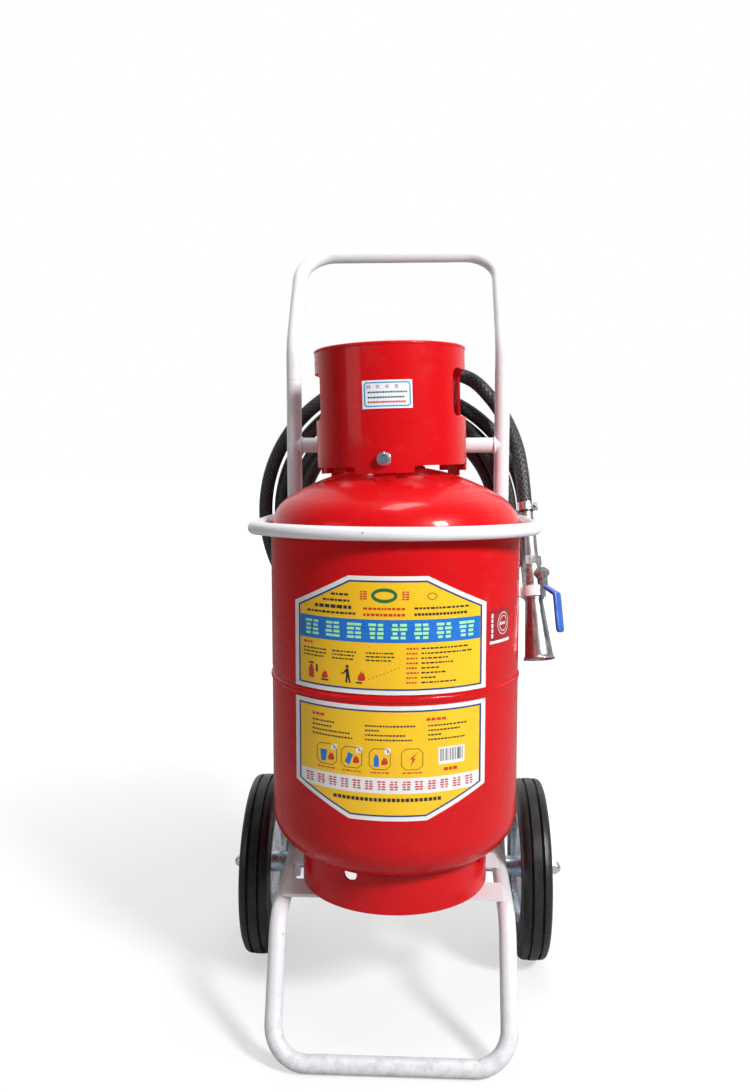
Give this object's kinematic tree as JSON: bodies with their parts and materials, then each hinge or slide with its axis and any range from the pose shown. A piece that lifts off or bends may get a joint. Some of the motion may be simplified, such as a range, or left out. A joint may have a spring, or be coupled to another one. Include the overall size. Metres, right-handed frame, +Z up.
{
  "type": "wheeled fire extinguisher",
  "caption": "Upright red pressure cylinder with valve guard on a white bent-tube two-wheel trolley, with coiled discharge hose and hand gun.",
  "frame": {"origin": "on the floor at the middle of the trolley's footprint", "axes": "+Z up, front of the cylinder towards -Y, handle and wheels towards +Y, hand gun on the +X side"},
  "size_m": [0.475, 0.4254, 1.0245],
  "materials": {
    "white_paint": "gloss",
    "red_paint": "gloss",
    "zinc_plate": "satin",
    "plain_steel": "satin",
    "spring_steel": "satin",
    "brass": "satin",
    "tyre_rubber": "matte",
    "hose_rubber": "satin",
    "seal_rubber": "matte",
    "black_plastic": "satin",
    "blue_grip": "gloss",
    "gauge_glass": "clear",
    "yellow_label": "satin",
    "pale_label": "satin",
    "dark_label": "satin",
    "powder": "matte"
  },
  "bodies": {
    "trolley": {"left_rail": "white_paint", "right_rail": "white_paint", "push_handle": "white_paint", "cross_tube": "white_paint", "front_seat_plate": "white_paint", "rear_seat_plate": "white_paint", "axle_brackets": "white_paint", "axle": "zinc_plate", "axle_washers": "zinc_plate", "axle_nuts": "zinc_plate", "retaining_hoop": "white_paint", "hoop_clamps": "white_paint", "hoop_bolts": "zinc_plate", "hose_hanger": "white_paint", "gun_holder": "white_paint", "upper_shell": "red_paint", "lower_shell": "red_paint", "weld_seam": "red_paint", "neck_boss": "red_paint", "foot_ring": "red_paint", "powder_charge": "powder", "collar": "red_paint", "collar_lugs": "red_paint", "collar_bolts": "zinc_plate", "valve_body": "brass", "neck_seal": "seal_rubber", "dip_tube": "plain_steel", "valve_spring": "spring_steel", "lever_pivot_pin": "plain_steel", "gauge_case": "brass", "gauge_lens": "gauge_glass", "outlet_coupling": "plain_steel", "outlet_hose_clamp": "zinc_plate", "hose_lead": "hose_rubber", "hose_coil": "hose_rubber", "hose_drop": "hose_rubber", "gun_hose_clamp": "zinc_plate", "gun_inlet_pipe": "plain_steel", "gun_nut": "plain_steel", "gun_valve_body": "plain_steel", "nozzle": "plain_steel", "upper_label": "yellow_label", "lower_label": "yellow_label", "collar_label": "pale_label", "side_label": "dark_label"},
    "left_wheel": {"left_tyre": "tyre_rubber", "left_wheel_disc": "zinc_plate", "left_hub": "zinc_plate"},
    "right_wheel": {"right_tyre": "tyre_rubber", "right_wheel_disc": "zinc_plate", "right_hub": "zinc_plate"},
    "gun_handle": {"gun_ball": "plain_steel", "gun_lever": "plain_steel", "gun_lever_sleeve": "blue_grip", "gun_lever_nut": "zinc_plate"},
    "valve_lever": {"valve_lever": "black_plastic"},
    "valve_stem": {"valve_stem": "plain_steel"},
    "safety_pin": {"safety_pin": "zinc_plate", "pull_ring": "zinc_plate"}
  },
  "joints": [
    {"name": "left_wheel_spin", "type": "hinge", "parent": "trolley", "child": "left_wheel", "pos_m": [-0.191, 0.08775, 0.125], "axis": [1, 0, 0], "continuous": true},
    {"name": "right_wheel_spin", "type": "hinge", "parent": "trolley", "child": "right_wheel", "pos_m": [0.191, 0.08775, 0.125], "axis": [1, 0, 0], "continuous": true},
    {"name": "gun_lever_turn", "type": "hinge", "parent": "trolley", "child": "gun_handle", "pos_m": [0.18374, 0.04034, 0.55605], "axis": [0.6901, -0.6725, 0.2673], "range_deg": [0, 90]},
    {"name": "valve_lever_lift", "type": "hinge", "parent": "trolley", "child": "valve_lever", "pos_m": [0, -0.02725, 0.82], "axis": [-1, 0, 0], "range_deg": [0, 90]},
    {"name": "valve_stem_travel", "type": "slide", "parent": "trolley", "child": "valve_stem", "axis": [0, 0, -1], "range_m": [0, 0.0031], "stiffness_N_per_m": 40, "deforming": ["valve_spring"]},
    {"name": "safety_pin_pull", "type": "slide", "parent": "trolley", "child": "safety_pin", "axis": [1, 0, 0], "range_m": [0, 0.034]}
  ],
  "couplings": [
    {"joint": "valve_stem_travel", "follows": "valve_lever_lift", "m_per_rad": 0.0019099}
  ]
}
